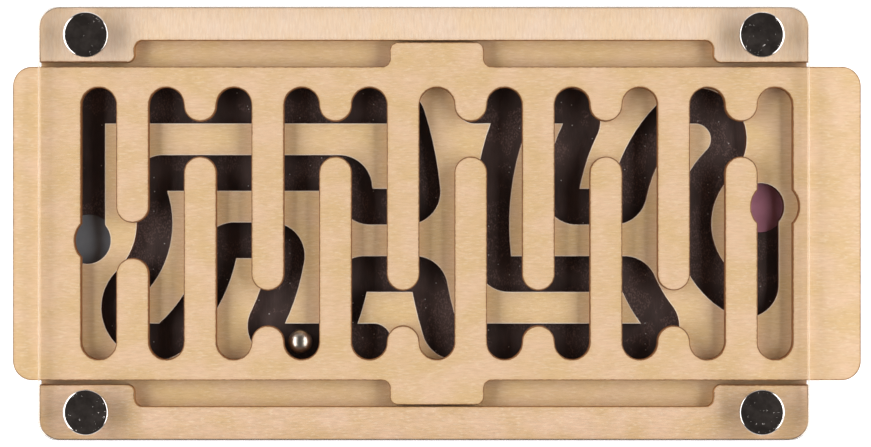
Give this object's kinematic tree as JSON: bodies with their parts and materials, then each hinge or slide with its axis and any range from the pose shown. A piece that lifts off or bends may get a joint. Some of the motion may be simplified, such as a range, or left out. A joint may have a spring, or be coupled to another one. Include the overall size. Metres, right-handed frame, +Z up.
{
  "type": "dexterity puzzle",
  "caption": "Flat plywood sliding maze: a slotted slider moves between rails over a winding groove and leads a loose steel ball from start to finish under a clear cover.",
  "frame": {"origin": "middle of the slider in plan, which is the middle of the whole box, on the plane of the rear screw heads", "axes": "+X along the length towards the finish, +Y across the width away from the player, +Z up through the clear cover"},
  "size_m": [0.193, 0.0984, 0.0159],
  "materials": {
    "stained_ply": "dark stained plywood, satin",
    "maze_ply": "birch plywood, laser cut, dark edges",
    "rail_ply": "birch plywood, laser cut, dark edges",
    "slider_ply": "birch plywood, laser cut, dark edges",
    "clear_acrylic": "clear, polished",
    "ball_steel": "polished steel",
    "grey_gloss": "glossy",
    "purple_gloss": "glossy",
    "post_nickel": "polished nickel",
    "screw_nickel": "nickel plated"
  },
  "bodies": {
    "case": {"back_plate": "stained_ply", "maze_plate": "maze_ply", "upper_rail": "rail_ply", "lower_rail": "rail_ply", "cover": "clear_acrylic", "start_spot": "grey_gloss", "finish_spot": "purple_gloss", "binding_post_upper_left": "post_nickel", "binding_post_upper_right": "post_nickel", "binding_post_lower_left": "post_nickel", "binding_post_lower_right": "post_nickel", "binding_screw_upper_left": "screw_nickel", "binding_screw_upper_right": "screw_nickel", "binding_screw_lower_left": "screw_nickel", "binding_screw_lower_right": "screw_nickel"},
    "slider": {"slider": "slider_ply"},
    "ball": {"ball": "ball_steel"}
  },
  "joints": [
    {"name": "slider_slide", "type": "slide", "parent": "case", "child": "slider", "axis": [1, 0, 0], "range_m": [-0.0045, 0.017]},
    {"name": "ball_roll", "type": "slide", "parent": "slider", "child": "ball", "axis": [0, 1, 0], "range_m": [-0.001, 0.0011]}
  ]
}
